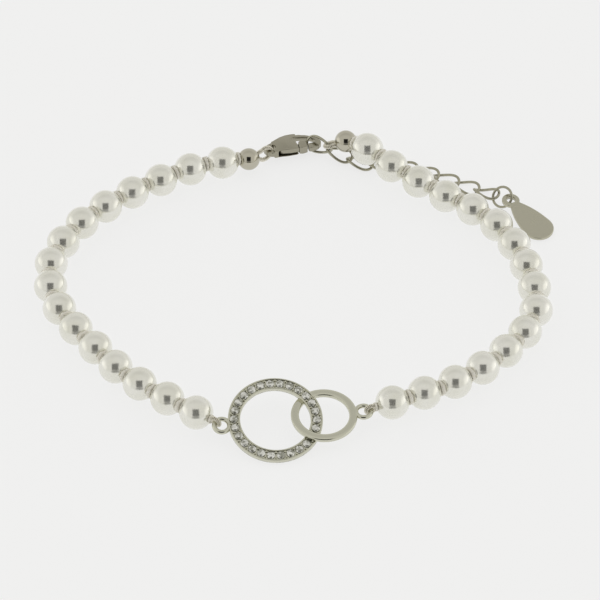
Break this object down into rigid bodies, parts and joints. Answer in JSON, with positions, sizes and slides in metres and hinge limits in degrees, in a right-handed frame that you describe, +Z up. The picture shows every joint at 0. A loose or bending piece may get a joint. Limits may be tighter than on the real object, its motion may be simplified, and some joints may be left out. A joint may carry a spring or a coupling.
{
  "type": "pearl bracelet",
  "caption": "Knotted pearl bracelet with a stone-set circle linked to a plain circle, a lobster clasp, and a curb extension chain that ends in a ring and a teardrop tag",
  "frame": {"origin": "middle of the underside of the closed bracelet as it lies flat: the centre of its bounding box at the surface it rests on", "axes": "+X runs across the loop from the left strand to the right one, the longest extent; +Y runs from the linked circles in front to the clasp behind; +Z is up, the shortest extent"},
  "size_m": [0.0618, 0.0568, 0.0051],
  "materials": {
    "pearl_nacre": "lustrous white nacre",
    "sterling_silver": "polished sterling silver",
    "silver_bullion": "fine coiled silver wire",
    "cream_silk": "twisted cream thread"
  },
  "bodies": {
    "bracelet": {"pearl_01": "pearl_nacre", "pearl_02": "pearl_nacre", "pearl_03": "pearl_nacre", "pearl_04": "pearl_nacre", "pearl_05": "pearl_nacre", "pearl_06": "pearl_nacre", "pearl_07": "pearl_nacre", "pearl_08": "pearl_nacre", "pearl_09": "pearl_nacre", "pearl_10": "pearl_nacre", "pearl_11": "pearl_nacre", "pearl_12": "pearl_nacre", "pearl_13": "pearl_nacre", "pearl_14": "pearl_nacre", "pearl_15": "pearl_nacre", "pearl_16": "pearl_nacre", "pearl_17": "pearl_nacre", "pearl_18": "pearl_nacre", "pearl_19": "pearl_nacre", "pearl_20": "pearl_nacre", "pearl_21": "pearl_nacre", "pearl_22": "pearl_nacre", "pearl_23": "pearl_nacre", "pearl_24": "pearl_nacre", "pearl_25": "pearl_nacre", "pearl_26": "pearl_nacre", "pearl_27": "pearl_nacre", "pearl_28": "pearl_nacre", "pearl_29": "pearl_nacre", "pearl_30": "pearl_nacre", "pearl_31": "pearl_nacre", "pearl_32": "pearl_nacre", "thread_left": "cream_silk", "thread_right": "cream_silk", "end_bead_left": "sterling_silver", "end_bead_right": "sterling_silver", "bullion_left_clasp_side": "silver_bullion", "bullion_right_clasp_side": "silver_bullion", "bullion_left_circle_side": "silver_bullion", "bullion_right_circle_side": "silver_bullion", "linked_circles": "sterling_silver", "clasp_body": "sterling_silver", "chain_link_01": "sterling_silver", "chain_link_02": "sterling_silver", "chain_link_03": "sterling_silver", "chain_link_04": "sterling_silver", "chain_link_05": "sterling_silver", "chain_link_06": "sterling_silver", "chain_link_07": "sterling_silver", "chain_link_08": "sterling_silver", "chain_link_09": "sterling_silver", "end_ring": "sterling_silver", "tag": "sterling_silver"},
    "clasp_lever": {"clasp_lever": "sterling_silver"}
  },
  "joints": [
    {"name": "clasp_lever_hinge", "type": "hinge", "parent": "bracelet", "child": "clasp_lever", "pos_m": [-0.00168, 0.02576, 0.00121], "axis": [0, 0, 1], "range_deg": [0, 15], "stiffness_Nm_per_rad": 0.0005}
  ]
}
